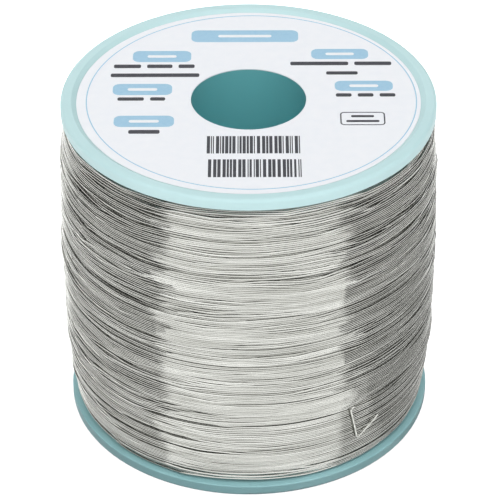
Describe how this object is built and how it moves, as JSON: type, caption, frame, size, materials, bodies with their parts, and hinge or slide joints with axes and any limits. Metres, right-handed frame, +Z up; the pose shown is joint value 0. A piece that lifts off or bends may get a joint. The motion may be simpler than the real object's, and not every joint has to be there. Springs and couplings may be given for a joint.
{
  "type": "solder wire spool",
  "caption": "Flanged plastic reel with a bore for a spindle, a round paper face label, and a full pack of fine solder wire whose free end lies folded on the pack.",
  "frame": {"origin": "centre of the underside, on the spool's axis, where the lower rim rests", "axes": "+Z up the spool's axis towards the labelled face, +Y away from the viewer of the label, +X to its right"},
  "size_m": [0.0614, 0.0614, 0.0575],
  "materials": {
    "mint_plastic": "satin moulded polystyrene",
    "label_paper": null,
    "solder_alloy": "bright drawn tin alloy",
    "flux": "amber rosin"
  },
  "bodies": {
    "reel": {"upper_spool_half": "mint_plastic", "lower_spool_half": "mint_plastic", "face_label": "label_paper", "solder_winding": "solder_alloy", "inner_wire_end": "solder_alloy"},
    "free_end": {"free_wire_end": "solder_alloy", "flux_core": "flux"}
  },
  "joints": [
    {"name": "free_end_lift", "type": "hinge", "parent": "reel", "child": "free_end", "pos_m": [0.01623, -0.02598, 0.0147], "axis": [-0.848, -0.5299, 0], "range_deg": [0, 120]}
  ]
}
